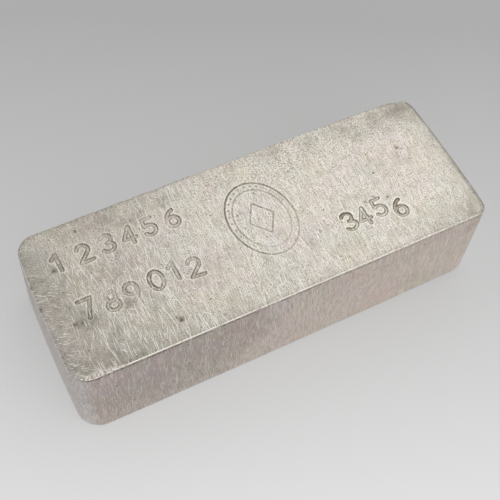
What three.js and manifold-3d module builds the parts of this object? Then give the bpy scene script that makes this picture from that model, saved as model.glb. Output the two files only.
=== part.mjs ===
// A hand-cast tin ingot of about 0.8 kg, in millimetres, +Z up, lying on its poured face.
// The metal was poured into an open mould and turned out, so the face that lay on the mould
// floor is now on top: it is flat, has the sharper edges and carries the foundry's punch marks.
// The mould was a little wider at its mouth, so the walls spread towards the underside, whose
// edge is rounded where the metal's surface pulled in as it froze.
// X runs along the bar and Y across it. The origin is the middle of the underside.
import * as THREE from 'three';
import { mergeVertices } from 'three/addons/utils/BufferGeometryUtils.js';
import Module from 'manifold-3d';

// Driving sizes
const FACE_LENGTH = 105.8; // top face, from end to end beside the corners
const FACE_WIDTH = 38.5; // top face, from side to side beside the corners
const HEIGHT = 25.4;
const END_DRAFT = 0.5; // how far each end leans out from the top to the underside
const SIDE_DRAFT = 2.0; // the same for each long side
const END_BOW = 0.28; // how far each end swells in the middle, in plan
const SIDE_BOW = 0.16; // the same for each long side
const BASE_EDGE_RADIUS = 2.1; // round edge of the poured face

// The upright corners in plan. Filing has left each of them another radius at the top.
const FRONT_RIGHT_RADIUS = 3.0;
const BACK_RIGHT_RADIUS = 4.2;
const BACK_LEFT_RADIUS = 4.4;
const FRONT_LEFT_RADIUS = 5.0;
const BASE_CORNER_RADIUS = 5.7; // all four at the underside

// The top edge is filed over by one height all round, and by another width on each side.
const EDGE_DROP = 0.5;
const LEFT_EDGE_WIDTH = 4.0;
const RIGHT_EDGE_WIDTH = 1.4;
const FRONT_EDGE_WIDTH = 0.35;
const BACK_EDGE_WIDTH = 1.0;

// One upright corner is filed off flat: at the back, on the right. The cut dies out downwards.
const FILED_ALONG_SIDE = 5.0; // from the square corner of the top face, along the side
const FILED_ALONG_END = 2.0; // the same, along the end
const FILED_DEPTH = 9.0; // below the top face, where the cut meets the square corner's edge

// Fineness of the facets
const SIDE_STEPS = 10; // along each side of the plan outline
const CORNER_STEPS = 10; // round each corner of the plan outline
const BASE_EDGE_STEPS = 8;
const WALL_STEPS = 4;
const TOP_EDGE_STEPS = 7;

const QUARTER_TURN = Math.PI / 2;

// The closed outline of the bar at one level, counter-clockwise seen from above: four bowed
// sides, each with the round corner that follows it. The corner radii start at the front
// right. Every level has the same number of points.
function planOutline({ left, right, front, back, radii }) {
  const [frontRight, backRight, backLeft, frontLeft] = radii;
  const middleX = (left + right) / 2;
  const middleY = (front + back) / 2;
  const side = (fromX, fromY, handleX, handleY, toX, toY) =>
    new THREE.QuadraticBezierCurve(
      new THREE.Vector2(fromX, fromY),
      new THREE.Vector2(handleX, handleY),
      new THREE.Vector2(toX, toY),
    );
  const corner = (x, y, radius, turns) =>
    new THREE.EllipseCurve(x, y, radius, radius, turns * QUARTER_TURN, (turns + 1) * QUARTER_TURN);
  // A Bezier's middle handle stands twice as far out as the curve itself.
  const beyondEnd = 2 * END_BOW;
  const beyondSide = 2 * SIDE_BOW;
  const pairs = [
    [
      side(left + frontLeft, front, middleX, front - beyondSide, right - frontRight, front),
      corner(right - frontRight, front + frontRight, frontRight, 3),
    ],
    [
      side(right, front + frontRight, right + beyondEnd, middleY, right, back - backRight),
      corner(right - backRight, back - backRight, backRight, 0),
    ],
    [
      side(right - backRight, back, middleX, back + beyondSide, left + backLeft, back),
      corner(left + backLeft, back - backLeft, backLeft, 1),
    ],
    [
      side(left, back - backLeft, left - beyondEnd, middleY, left, front + frontLeft),
      corner(left + frontLeft, front + frontLeft, frontLeft, 2),
    ],
  ];
  return pairs.flatMap(([straight, round]) => [
    ...straight.getPoints(SIDE_STEPS).slice(1),
    ...round.getPoints(CORNER_STEPS).slice(1),
  ]);
}

// The mould's own walls at height z, before any edge is rounded.
function wallLevel(z) {
  const share = 1 - z / HEIGHT;
  const halfLength = FACE_LENGTH / 2 + END_DRAFT * share;
  const halfWidth = FACE_WIDTH / 2 + SIDE_DRAFT * share;
  const atTop = [FRONT_RIGHT_RADIUS, BACK_RIGHT_RADIUS, BACK_LEFT_RADIUS, FRONT_LEFT_RADIUS];
  return {
    z,
    left: -halfLength,
    right: halfLength,
    front: -halfWidth,
    back: halfWidth,
    radii: atTop.map((radius) => THREE.MathUtils.lerp(radius, BASE_CORNER_RADIUS, share)),
  };
}

// A level of the poured face's round edge, turned by an angle from the flat underside.
function baseEdgeLevel(angle) {
  const level = wallLevel(BASE_EDGE_RADIUS * (1 - Math.cos(angle)));
  const inset = BASE_EDGE_RADIUS * (1 - Math.sin(angle));
  return {
    z: level.z,
    left: level.left + inset,
    right: level.right - inset,
    front: level.front + inset,
    back: level.back - inset,
    radii: level.radii.map((radius) => radius - inset),
  };
}

// A level of the filed top edge, turned by an angle from the wall: a quarter ellipse that is
// as high as the drop and as wide as each side's own edge.
function topEdgeLevel(angle) {
  const level = wallLevel(HEIGHT - EDGE_DROP * (1 - Math.sin(angle)));
  const share = 1 - Math.cos(angle);
  return {
    z: level.z,
    left: level.left + LEFT_EDGE_WIDTH * share,
    right: level.right - RIGHT_EDGE_WIDTH * share,
    front: level.front + FRONT_EDGE_WIDTH * share,
    back: level.back - BACK_EDGE_WIDTH * share,
    radii: level.radii,
  };
}

// All levels from the underside to the top face.
function levels() {
  const list = [];
  for (let i = 0; i <= BASE_EDGE_STEPS; i++)
    list.push(baseEdgeLevel((QUARTER_TURN * i) / BASE_EDGE_STEPS));
  const wallTop = HEIGHT - EDGE_DROP;
  for (let i = 1; i < WALL_STEPS; i++)
    list.push(wallLevel(THREE.MathUtils.lerp(BASE_EDGE_RADIUS, wallTop, i / WALL_STEPS)));
  for (let i = 0; i <= TOP_EDGE_STEPS; i++)
    list.push(topEdgeLevel((QUARTER_TURN * i) / TOP_EDGE_STEPS));
  return list;
}

// Skins the levels with triangles and closes the two flat faces.
function loft(list) {
  const rings = list.map(planOutline);
  const count = rings[0].length;
  const positions = rings.flatMap((ring, i) => ring.flatMap((p) => [p.x, p.y, list[i].z]));
  const index = [];
  for (let i = 0; i + 1 < rings.length; i++)
    for (let j = 0; j < count; j++) {
      const next = (j + 1) % count;
      const [a, b] = [i * count + j, i * count + next];
      const [c, d] = [a + count, b + count];
      index.push(a, b, d, a, d, c);
    }
  const top = (rings.length - 1) * count;
  for (const [a, b, c] of THREE.ShapeUtils.triangulateShape(rings[0], [])) index.push(c, b, a);
  for (const [a, b, c] of THREE.ShapeUtils.triangulateShape(rings.at(-1), []))
    index.push(top + a, top + b, top + c);
  const geometry = new THREE.BufferGeometry();
  geometry.setAttribute('position', new THREE.Float32BufferAttribute(positions, 3));
  geometry.setIndex(index);
  return geometry;
}

// The metal that the file took off the corner, as a block whose lower face is the cut. The
// cut runs through three points: one on the side, one on the end and one down the corner.
function filedOffBlock() {
  const face = wallLevel(HEIGHT);
  const onSide = new THREE.Vector3(face.right - FILED_ALONG_SIDE, face.back, HEIGHT);
  const onEnd = new THREE.Vector3(face.right, face.back - FILED_ALONG_END, HEIGHT);
  const foot = wallLevel(HEIGHT - FILED_DEPTH);
  const downCorner = new THREE.Vector3(foot.right, foot.back, foot.z);
  const cut = new THREE.Plane().setFromCoplanarPoints(onEnd, downCorner, onSide);
  const size = 2 * (FILED_ALONG_SIDE + FILED_ALONG_END + FILED_DEPTH);
  const block = new THREE.BoxGeometry(size, size, size).translate(0, 0, size / 2);
  const up = new THREE.Vector3(0, 0, 1);
  block.applyQuaternion(new THREE.Quaternion().setFromUnitVectors(up, cut.normal));
  block.translate(...onSide.add(onEnd).multiplyScalar(1 / 2));
  return block;
}

const wasm = await Module();
wasm.setup();

function toSolid(geometry) {
  const bare = geometry.clone();
  bare.deleteAttribute('normal');
  bare.deleteAttribute('uv');
  const merged = mergeVertices(bare);
  return new wasm.Manifold(
    new wasm.Mesh({
      numProp: 3,
      vertProperties: new Float32Array(merged.attributes.position.array),
      triVerts: new Uint32Array(merged.index.array),
    }),
  );
}

function toGeometry(solid) {
  const mesh = solid.getMesh();
  const geometry = new THREE.BufferGeometry();
  geometry.setAttribute('position', new THREE.BufferAttribute(mesh.vertProperties, 3));
  geometry.setIndex(new THREE.BufferAttribute(mesh.triVerts, 1));
  geometry.computeVertexNormals();
  return geometry;
}

const tin = new THREE.MeshStandardMaterial({ color: 0xb9b3a8, metalness: 0.9, roughness: 0.5 });
const casting = toSolid(loft(levels())).subtract(toSolid(filedOffBlock()));
const ingot = new THREE.Mesh(toGeometry(casting), tin);
ingot.name = 'ingot';

const group = new THREE.Group();
group.add(ingot);

export default group;
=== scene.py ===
# %% [markdown]
# # A hand-cast tin ingot
# The object is one casting of pewter, the old alloy of tin with a little antimony and copper.
# It was poured into an open mould, turned out, filed along its top edges, rubbed with a coarse
# abrasive and struck with steel punches. The measured solid comes from the imported frame, and
# this script gives it a skin fine enough to carry those marks.
#
# The frame is loaded first, and its size is kept.

# %% Load the frame
import math
from collections import namedtuple

import bmesh
import bpy
import numpy as np
from mathutils import Euler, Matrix, Quaternion, Vector, noise
from mathutils.bvhtree import BVHTree


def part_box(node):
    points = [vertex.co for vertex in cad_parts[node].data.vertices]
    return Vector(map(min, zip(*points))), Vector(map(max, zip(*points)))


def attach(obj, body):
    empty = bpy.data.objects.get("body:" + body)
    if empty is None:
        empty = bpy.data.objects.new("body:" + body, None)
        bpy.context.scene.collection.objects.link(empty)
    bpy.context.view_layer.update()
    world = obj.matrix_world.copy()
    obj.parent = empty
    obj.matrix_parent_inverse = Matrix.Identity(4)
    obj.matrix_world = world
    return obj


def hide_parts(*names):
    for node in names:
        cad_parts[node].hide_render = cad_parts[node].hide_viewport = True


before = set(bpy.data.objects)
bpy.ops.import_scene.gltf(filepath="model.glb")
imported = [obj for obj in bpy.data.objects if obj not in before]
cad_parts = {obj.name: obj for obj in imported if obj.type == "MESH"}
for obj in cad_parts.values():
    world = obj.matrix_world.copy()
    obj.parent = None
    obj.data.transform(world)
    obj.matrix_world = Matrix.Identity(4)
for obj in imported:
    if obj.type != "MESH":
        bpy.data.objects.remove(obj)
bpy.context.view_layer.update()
CAD_LOW, CAD_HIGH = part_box("ingot")
print("the ingot's solid spans", CAD_LOW[:], CAD_HIGH[:])

# %% [markdown]
# Blender works in metres, and an ingot is easier to think of in millimetres. Two helpers keep
# the rest readable: one turns millimetres to metres, and one turns the sRGB colours that people
# pick from a chart into the linear values that a renderer adds up.

# %% Units and colours
MM = 0.001


def mm(*values):
    """A vector given in millimetres, in metres."""
    return Vector(values) * MM


def colour(hex_code, alpha=1.0):
    """A linear RGBA colour from an sRGB hex code such as '#cfc9c0'."""
    channels = [int(hex_code[i : i + 2], 16) / 255 for i in (1, 3, 5)]
    linear = [c / 12.92 if c <= 0.04045 else ((c + 0.055) / 1.055) ** 2.4 for c in channels]
    return (*linear, alpha)


print("a mid grey, #808080, sends back", round(colour("#808080")[0], 3), "of the light")

# %% [markdown]
# A small object is best seen from close by through a long lens, because its far edges then shrink
# only a little. The camera looks down on the bar from in front of its left end, rolled slightly
# so that the bar climbs across the view.

# %% Camera
CAMERA_PLACE = mm(-61.06, -90.98, 199.22)
CAMERA_AIM = mm(-0.83, 1.11, 12.7)
CAMERA_ROLL = math.radians(7.35)
SENSOR_WIDTH_MM = 36.0
FOCAL_LENGTH_MM = 63.58
CLIP_START = 0.01


def add_object(name, data):
    """Puts an object with that data into the scene."""
    made = bpy.data.objects.new(name, data)
    bpy.context.scene.collection.objects.link(made)
    return made


def look_from(made, place, aim, roll=0.0):
    """Stands a camera or a lamp at a place and turns it toward its aim."""
    made.location = place
    made.rotation_mode = "QUATERNION"
    look = (aim - place).to_track_quat("-Z", "Y")
    made.rotation_quaternion = look @ Quaternion((0, 0, 1), roll)


camera_data = bpy.data.cameras.new("camera")
camera_data.sensor_fit = "HORIZONTAL"
camera_data.sensor_width = SENSOR_WIDTH_MM
camera_data.lens = FOCAL_LENGTH_MM
camera_data.clip_start = CLIP_START
camera = add_object("camera", camera_data)
look_from(camera, CAMERA_PLACE, CAMERA_AIM, CAMERA_ROLL)
bpy.context.scene.camera = camera
print("the camera stands", round((CAMERA_AIM - CAMERA_PLACE).length / MM), "mm away")

# %% [markdown]
# Materials and lights are built from shader nodes. One small function adds a node, sets its
# values, joins it to the nodes before it and hands back one of its outputs, so that a material
# reads as a list of steps. A few long node names and settings get short ones. A second function
# clears away what Blender puts into a new tree.

# %% One function for nodes
MATH, RANGE, MIX = "ShaderNodeMath", "ShaderNodeMapRange", "ShaderNodeMix"
DOT = {"operation": "DOT_PRODUCT", "output": "Value"}
COLOUR = {"data_type": "RGBA", "output": 2}


def node(tree, kind, inputs=None, output=0, **settings):
    """Adds a node and returns one output. inputs maps a socket to a value or to an output."""
    made = tree.nodes.new(kind)
    for name, value in settings.items():
        setattr(made, name, value)
    for socket, value in (inputs or {}).items():
        if isinstance(value, bpy.types.NodeSocket):
            tree.links.new(value, made.inputs[socket])
        else:
            made.inputs[socket].default_value = value
    return made.outputs[output] if len(made.outputs) else None


def empty_tree(owner):
    """The node tree of a world or a material, with nothing in it."""
    owner.use_nodes = True
    owner.node_tree.nodes.clear()
    return owner.node_tree


print("the workhorses are", MATH, RANGE, "and", MIX)

# %% [markdown]
# Metal shows what stands around it more than it shows its own colour. The room is a white tent
# that is lit from the right, so the top of the bar grows paler along its length. The tent is a
# ramp from a dim to a bright cloth, read from how far a direction points toward the bright side.
# Low down, where a direction hardly rises, the cloth gives way to a pale backdrop that closes
# the view beyond the floor. Colours stay as they are written, with no film look over them.

# %% Room light
TENT_BRIGHT, TENT_BRIGHT_AT = "#f6f6f6", 0.95
TENT_DIM, TENT_DIM_AT = "#787878", 0.4
BRIGHT_WAY = Vector((0.52, 0.33, 0.79))
BACKDROP, BACKDROP_TOP, BACKDROP_FOOT = "#d8d8d8", 0.3, 0.05
UP = Vector((0, 0, 1))

bpy.context.scene.view_settings.view_transform = "Standard"
world = bpy.data.worlds.new("tent")
bpy.context.scene.world = world
tent = empty_tree(world)
direction = node(tent, "ShaderNodeTexCoord", output="Generated")
facing = node(tent, "ShaderNodeVectorMath", {0: direction, 1: BRIGHT_WAY}, **DOT)
cloth = node(tent, "ShaderNodeValToRGB", {0: facing})
dim, bright = cloth.node.color_ramp.elements
dim.color, dim.position = colour(TENT_DIM), TENT_DIM_AT
bright.color, bright.position = colour(TENT_BRIGHT), TENT_BRIGHT_AT
rise = node(tent, "ShaderNodeVectorMath", {0: direction, 1: UP}, **DOT)
low = node(tent, RANGE, {0: rise, 1: BACKDROP_TOP, 2: BACKDROP_FOOT})
walls = node(tent, MIX, {0: low, 6: cloth, 7: colour(BACKDROP)}, **COLOUR)
background = node(tent, "ShaderNodeBackground", {"Color": walls, "Strength": 1.0})
node(tent, "ShaderNodeOutputWorld", {"Surface": background})
print("the tent has", len(tent.nodes), "nodes")

# %% [markdown]
# Four soft boxes add the direction that a tent alone lacks, and with it a soft shadow. The large
# one in front lights the crest of the front arris, and the two behind the bar catch the rims of
# the punch marks and the left arris. A brightness of 1 is that of a white card.

# %% Soft boxes
BOX_AIM = mm(0, 0, 15)
SOFT_BOXES = (
    # name, place in mm, width in m, brightness
    ("soft_box_right", (420, 260, 430), 0.5, 0.25),
    ("soft_box_front", (0, -470, 420), 0.8, 1.0),
    ("soft_box_back", (-60, 520, 260), 0.35, 0.3),
    ("soft_box_left", (-430, 240, 290), 0.4, 0.5),
)
for name, place, width, brightness in SOFT_BOXES:
    light = bpy.data.lights.new(name, "AREA")
    light.shape = "SQUARE"
    light.size = width
    light.energy = brightness * math.pi * width**2
    look_from(add_object(name, light), mm(*place), BOX_AIM)
    print(name, "gives", round(light.energy, 2), "watts")

# %% [markdown]
# The bar stands on a wide plain sheet. It is marked as the stage, so it isn't taken for a part of
# the object.

# %% Floor sheet
FLOOR_SIZE = 3.0

bm = bmesh.new()
bmesh.ops.create_grid(bm, x_segments=1, y_segments=1, size=FLOOR_SIZE / 2)
floor_mesh = bpy.data.meshes.new("floor")
bm.to_mesh(floor_mesh)
bm.free()
floor = add_object("floor", floor_mesh)
print("the floor is", FLOOR_SIZE, "m wide")

# %% [markdown]
# The sheet is matt paper, which scatters light evenly and has no shine. Its grey deepens away
# from the camera, as on a sheet lit from the front, so a ramp reads how far a point lies that way
# along the floor. Part of the pale tone is a glow that only the camera and mirror-like surfaces
# see: it puts no light on the bar, and the bar still throws its soft shadow.

# %% Matt paper
FLOOR_NEAR, FLOOR_MIDDLE, FLOOR_FAR = "#b5b5b5", "#9a9a9a", "#868686"
FLOOR_NEAR_MM, FLOOR_FAR_MM = -90.0, 90.0
FLOOR_MIDDLE_AT = 0.5

paper = bpy.data.materials.new("matt_paper")
tree = empty_tree(paper)
away = camera.rotation_quaternion @ Vector((0, 1, 0))
away = Vector((away.x, away.y, 0)).normalized()
place = node(tree, "ShaderNodeTexCoord", output="Object")
depth = node(tree, "ShaderNodeVectorMath", {0: place, 1: away}, **DOT)
depth = node(tree, RANGE, {0: depth, 1: FLOOR_NEAR_MM * MM, 2: FLOOR_FAR_MM * MM})
shade = node(tree, "ShaderNodeValToRGB", {0: depth})
near_end, far_end = shade.node.color_ramp.elements
near_end.color, far_end.color = colour(FLOOR_NEAR), colour(FLOOR_FAR)
shade.node.color_ramp.elements.new(FLOOR_MIDDLE_AT).color = colour(FLOOR_MIDDLE)
to_camera = node(tree, "ShaderNodeLightPath", output="Is Camera Ray")
to_mirror = to_camera.node.outputs["Is Glossy Ray"]
seen = node(tree, MATH, {0: to_camera, 1: to_mirror}, operation="ADD")
sheet = node(tree, "ShaderNodeBsdfDiffuse", {"Color": shade})
glow = node(tree, "ShaderNodeEmission", {"Color": shade, "Strength": seen})
both = node(tree, "ShaderNodeAddShader", {0: sheet, 1: glow})
node(tree, "ShaderNodeOutputMaterial", {"Surface": both})
floor_mesh.materials.append(paper)
print("the paper has", len(tree.nodes), "nodes")

# %% [markdown]
# ## The punch marks
# Each figure is a plain line drawing one unit high, made of straight lines and arcs. Lines are
# enough, because a punch presses its stroke as a groove along a line.

# %% Figures as line drawings
ARC_STEP = 12


def arc(x, y, radius_x, radius_y, start, end):
    """Points on part of an ellipse, between two angles in degrees."""
    steps = round(abs(end - start) / ARC_STEP)
    angles = np.radians(np.linspace(start, end, steps + 1))
    return [(x + radius_x * math.cos(a), y + radius_y * math.sin(a)) for a in angles]


FIGURES = {
    "0": [arc(0.31, 0.5, 0.29, 0.44, 0, 360)],
    "1": [[(0.06, 0.7), (0.32, 0.93), (0.32, 0.06)]],
    "2": [arc(0.3, 0.68, 0.25, 0.25, 165, -40) + [(0.04, 0.06), (0.6, 0.06)]],
    "3": [arc(0.28, 0.71, 0.24, 0.22, 155, -90), arc(0.28, 0.28, 0.28, 0.22, 90, -155)],
    "4": [[(0.42, 0.06), (0.42, 0.94), (0.03, 0.32), (0.58, 0.32)]],
    "5": [[(0.52, 0.94), (0.12, 0.94), (0.08, 0.56)] + arc(0.27, 0.33, 0.27, 0.27, 125, -150)],
    "6": [arc(0.31, 0.32, 0.26, 0.26, 0, 360), arc(0.6, 0.38, 0.56, 0.57, 183, 108)],
    "7": [[(0.04, 0.94), (0.58, 0.94), (0.24, 0.06)]],
    "8": [arc(0.3, 0.72, 0.21, 0.22, 0, 360), arc(0.3, 0.28, 0.26, 0.22, 0, 360)],
    "9": [arc(0.31, 0.68, 0.26, 0.26, 0, 360), arc(0.02, 0.62, 0.56, 0.57, 3, -72)],
}
print(len(FIGURES), "figures drawn")

# %% [markdown]
# A mark is kept as short straight pieces in millimetres on the top face, with the half width of
# its flat bottom, how deep it goes, and the way that it was struck deeper, because a punch held
# by hand is never quite upright.

# %% What a mark is
Mark = namedtuple("Mark", "starts ends centre half_width depth lean")


def mark(lines, place, size, turn, half_width, depth, lean):
    """Puts a drawing on the top face: scaled, turned by degrees, then moved to a place in mm."""
    c, s = math.cos(math.radians(turn)), math.sin(math.radians(turn))
    spin = np.array([[c, -s], [s, c]])
    drawn = [np.array(line) * size @ spin.T + place for line in lines]
    starts = np.concatenate([line[:-1] for line in drawn])
    ends = np.concatenate([line[1:] for line in drawn])
    return Mark(starts, ends, ends.mean(axis=0), half_width, depth, np.array(lean))


def figure_row(text, size, half_width, places, turns, depths, leans):
    """One mark for each figure of a text, each struck with its own place, turn and depth."""
    return [
        mark(FIGURES[t], place, size, turn, half_width, depth, lean)
        for t, place, turn, depth, lean in zip(text, places, turns, depths, leans)
    ]


print("a mark keeps", ", ".join(Mark._fields))

# %% [markdown]
# Two rows of plain counting figures stand on the left half and a short, deeper row on the right.

# %% Rows of figures
UPPER_ROW = figure_row(
    "123456",
    size=5.1,
    half_width=0.34,
    places=((-46.9, 7.3), (-40.9, 7.2), (-35.2, 7.5), (-30.0, 7.4), (-24.7, 7.6), (-19.2, 7.6)),
    turns=(2, 1, -1, 0, 2, -2),
    depths=(0.18, 0.21, 0.14, 0.15, 0.17, 0.16),
    leans=((-0.5, -0.4), (0.3, 0.0), (0.3, -0.2), (-0.3, -0.2), (-0.1, -0.3), (0.4, 0.1)),
)
LOWER_ROW = figure_row(
    "789012",
    size=5.3,
    half_width=0.33,
    places=((-45.3, -6.2), (-39.8, -6.6), (-34.9, -6.6), (-29.1, -6), (-24.2, -5.4), (-20, -6.4)),
    turns=(2, -1, 3, -1, 1, -3),
    depths=(0.16, 0.13, 0.12, 0.22, 0.14, 0.14),
    leans=((-0.4, 0.2), (-0.2, -0.4), (-0.5, 0.5), (-0.5, 0.1), (-0.4, -0.5), (-0.4, -0.5)),
)
RIGHT_ROW = figure_row(
    "3456",
    size=5.2,
    half_width=0.3,
    places=((18.5, -10.6), (22.3, -10.8), (27.0, -10.1), (31.3, -12.1)),
    turns=(4, 2, 3, -3),
    depths=(0.25, 0.18, 0.18, 0.25),
    leans=((-0.3, 0.3), (0.2, -0.2), (-0.1, 0.2), (-0.2, 0.3)),
)
print(len(UPPER_ROW + LOWER_ROW + RIGHT_ROW), "figures placed")

# %% [markdown]
# Between the rows is a founder's stamp. Here it is a plain one: an oval line with a fainter oval
# inside it, a ring of beads between the two and a lozenge in the middle. A tool slipped beside
# it and left a short shallow gouge.

# %% The plain stamp
STAMP_CENTRE = (1.5, 1.5)
STAMP_HALF = np.array((8.0, 10.4))
STAMP_TURN = 5.6
INNER_OVAL, BEAD_OVAL = 0.8, 0.9
BEAD_MM = 0.01


def oval(share):
    """The stamp's outline, drawn at a share of its size."""
    return arc(0.0, 0.0, *(STAMP_HALF * share), 0, 360)


beads = [[(x, y), (x + BEAD_MM, y)] for x, y in oval(BEAD_OVAL)]
lozenge = [(0.0, 4.6), (3.3, 0.0), (0.0, -4.6), (-3.3, 0.0), (0.0, 4.6)]
stamp_lines = (
    # drawing, half width, depth, lean
    ([oval(1.0)], 0.04, 0.12, (-0.3, 0.3)),
    ([oval(INNER_OVAL)], 0.03, 0.07, (-0.3, 0.3)),
    ([lozenge], 0.03, 0.09, (0.2, 0.2)),
    (beads, 0.1, 0.06, (-0.6, 0.6)),
)
STAMP = [mark(lines, STAMP_CENTRE, 1.0, STAMP_TURN, *how) for lines, *how in stamp_lines]
gouge = [(10.0, -3.9), (11.2, -5.8), (12.4, -7.7)]
GOUGE = mark(
    [gouge], place=(0, 0), size=1.0, turn=0, half_width=0.15, depth=0.05, lean=(0.3, -0.3)
)
MARKS = UPPER_ROW + LOWER_ROW + RIGHT_ROW + STAMP + [GOUGE]
print(len(MARKS), "marks of", sum(len(m.starts) for m in MARKS), "short pieces")

# %% [markdown]
# Everything about a mark depends on how far a point lies from its line, so one function measures
# that for many points at once. Points out of reach keep an endless distance and cost nothing.

# %% Distance from a mark
GROOVE_WALL_MM = 0.17
MARK_REACH_MM = 1.3
SHADED_WAY = np.array((-0.5, 0.87))
NO_GAP = 1e-6


def distance_to(m, places):
    """How far each place, in mm on the top face, lies from a mark's line, and on its shaded side.

    The side is 1 for a place straight toward the shaded side of the line, and -1 away from it.
    """
    nearest = np.full(len(places), np.inf)
    side = np.zeros(len(places))
    low = np.minimum(m.starts.min(axis=0), m.ends.min(axis=0)) - MARK_REACH_MM
    high = np.maximum(m.starts.max(axis=0), m.ends.max(axis=0)) + MARK_REACH_MM
    boxed = np.flatnonzero(((places > low) & (places < high)).all(axis=1))
    here = places[boxed]
    for a, b in zip(m.starts, m.ends):
        along = b - a
        share = np.clip((here - a) @ along / (along @ along), 0.0, 1.0)
        step = here - a - share[:, None] * along
        gap = np.hypot(step[:, 0], step[:, 1])
        closer = gap < nearest[boxed]
        nearest[boxed[closer]] = gap[closer]
        side[boxed[closer]] = (step[closer] @ SHADED_WAY) / np.maximum(gap[closer], NO_GAP)
    return nearest, side


middle_gap = distance_to(STAMP[2], np.array([STAMP_CENTRE]))[0][0]
print("the stamp's middle lies", round(middle_gap, 2), "mm from the lozenge's line")

# %% [markdown]
# Years of handling left pits and knocks. Each is a place in millimetres with its radius, its
# depth and how much dirt it holds, from 0 to 1.

# %% Pits and knocks
PITS = np.array(
    [
        # x, y, z, radius, depth, dirt: on the top
        (-26.5, -14.5, 25.4, 0.6, 0.3, 1.0),
        (-27.2, -13.6, 25.4, 0.4, 0.15, 0.7),
        (41.6, 6.0, 25.4, 0.45, 0.2, 0.8),
        (42.6, 5.2, 25.4, 0.35, 0.15, 0.6),
        (15.8, -2.6, 25.4, 0.35, 0.15, 0.5),
        (-3.5, 4.4, 25.4, 0.3, 0.12, 0.9),
        (-9.9, 7.8, 25.4, 0.35, 0.12, 0.4),
        (-9.8, -2.6, 25.4, 0.7, 0.08, 0.3),
        (19.8, -15.2, 25.4, 0.3, 0.12, 0.6),
        (32.2, 1.7, 25.4, 0.3, 0.1, 0.7),
        (13.4, 10.6, 25.4, 0.35, 0.12, 0.7),
        (-47.1, 8.2, 25.4, 0.6, 0.15, 0.8),
        (-39.2, 15.9, 25.4, 0.5, 0.15, 0.7),
        (-26.8, 13.3, 25.4, 0.4, 0.12, 0.6),
        (-47.5, -6.0, 25.4, 0.55, 0.2, 0.9),
        (-46.2, -6.4, 25.4, 0.4, 0.12, 0.6),
        (26.1, -4.7, 25.4, 0.3, 0.12, 0.9),
        (28.6, -4.3, 25.4, 0.35, 0.12, 0.9),
        (31.8, -5.7, 25.4, 0.35, 0.15, 0.9),
        # wide clean knocks on three corners
        (53.4, -19.5, 25.4, 4.5, 0.2, 0.0),
        (-53.2, 19.3, 25.4, 3.0, 0.2, 0.0),
        (49.3, 19.8, 25.2, 2.0, 0.6, 0.0),
        # on the left arris, along the burr and on the front wall
        (-53.0, 0.5, 24.9, 0.5, 0.25, 0.9),
        (-53.0, 6.5, 24.9, 0.45, 0.2, 0.7),
        (-51.6, -17.5, 25.3, 0.3, 0.12, 0.6),
        (-50.5, -18.3, 25.3, 0.25, 0.1, 0.5),
        (-49.2, -18.7, 25.3, 0.3, 0.12, 0.7),
        (-47.7, -19.0, 25.3, 0.25, 0.1, 0.5),
        (-46.1, -19.2, 25.3, 0.3, 0.12, 0.6),
        (-44.2, -19.3, 25.3, 0.25, 0.1, 0.5),
        (-27.0, -20.2, 14.0, 0.4, 0.15, 0.9),
        (-44.0, -20.0, 18.0, 0.35, 0.12, 0.8),
    ]
)
print(len(PITS), "pits, the deepest", PITS[:, 4].max(), "mm")

# %% [markdown]
# Dull grey stains have no depth, only a place on the top, a radius and a strength.

# %% Stains
STAINS = np.array(
    [
        # x, y, radius, strength
        (-45.7, -4.8, 1.3, 1.0),
        (-43.4, -5.4, 1.6, 0.7),
        (-35.1, -6.1, 1.3, 0.8),
        (-40.7, -11.7, 1.6, 0.3),
        (-36.8, -17.6, 1.4, 0.25),
        (-42.1, 15.4, 1.6, 0.45),
        (-26.8, 13.3, 2.0, 0.25),
        (-32.5, 16.3, 1.3, 0.3),
        (-23.6, 14.9, 1.6, 0.3),
        (-17.3, 16.0, 2.2, 0.4),
        (8.7, -9.1, 1.6, 0.4),
        (21.0, 14.5, 3.0, 0.5),
        (34.0, 14.0, 3.0, 0.35),
        (32.0, 20.0, 6.0, 0.3),
        (40.5, 13.5, 3.0, 0.35),
        (47.5, 18.0, 6.0, 0.85),
        (12.5, 17.5, 2.0, 0.25),
    ]
)
print(len(STAINS), "stains")

# %% [markdown]
# ## The skin
# The marks on the bar are tenths of a millimetre deep, far finer than the solid's facets. One
# could paint them as a bump pattern, but then they would vanish in a side view and in an export.
# Here they are real: a tapered box is sliced into small squares, pulled onto the solid like cling
# film, and later pushed in and out. Pulling onto the solid means that no size is written twice.

# %% The solid to pull onto
ARRIS_BAND_MM = 0.7
SAME_PLACE_MM = 0.001


def solid_surface():
    """A search tree of the solid, from a merged copy of its mesh, and half the size of its top."""
    bm = bmesh.new()
    bm.from_mesh(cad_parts["ingot"].data)
    bmesh.ops.remove_doubles(bm, verts=bm.verts, dist=SAME_PLACE_MM * MM)
    bm.normal_update()
    surface = BVHTree.FromBMesh(bm)
    brow = [v.co for v in bm.verts if v.co.z > CAD_HIGH.z - ARRIS_BAND_MM * MM]
    half = Vector((max(c.x for c in brow), max(c.y for c in brow)))
    bm.free()
    return surface, half


SOLID, TOP_HALF = solid_surface()
print("the top reaches", (TOP_HALF / MM)[:], "mm from the middle")

# %% [markdown]
# The box leans in like the walls of the casting, and its upright corners are rounded, so that it
# already lies close to the solid and the squares stay even when they are pulled onto it. Round a
# corner, a square patch becomes a quarter disc: each point slides toward the patch's inner corner.

# %% Slice a tapered box
COARSE_MM = 1.6
CORNER_MM = 4.2


def round_corner(point, half, corner):
    """Moves a point of a box that is this wide either way from a square corner to a round one."""
    past = [abs(point[axis]) - half[axis] + corner for axis in (0, 1)]
    if min(past) > 0.0:
        share = max(past) / math.hypot(*past)
        for axis in (0, 1):
            inner = half[axis] - corner
            point[axis] = math.copysign(inner + past[axis] * share, point[axis])


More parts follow.
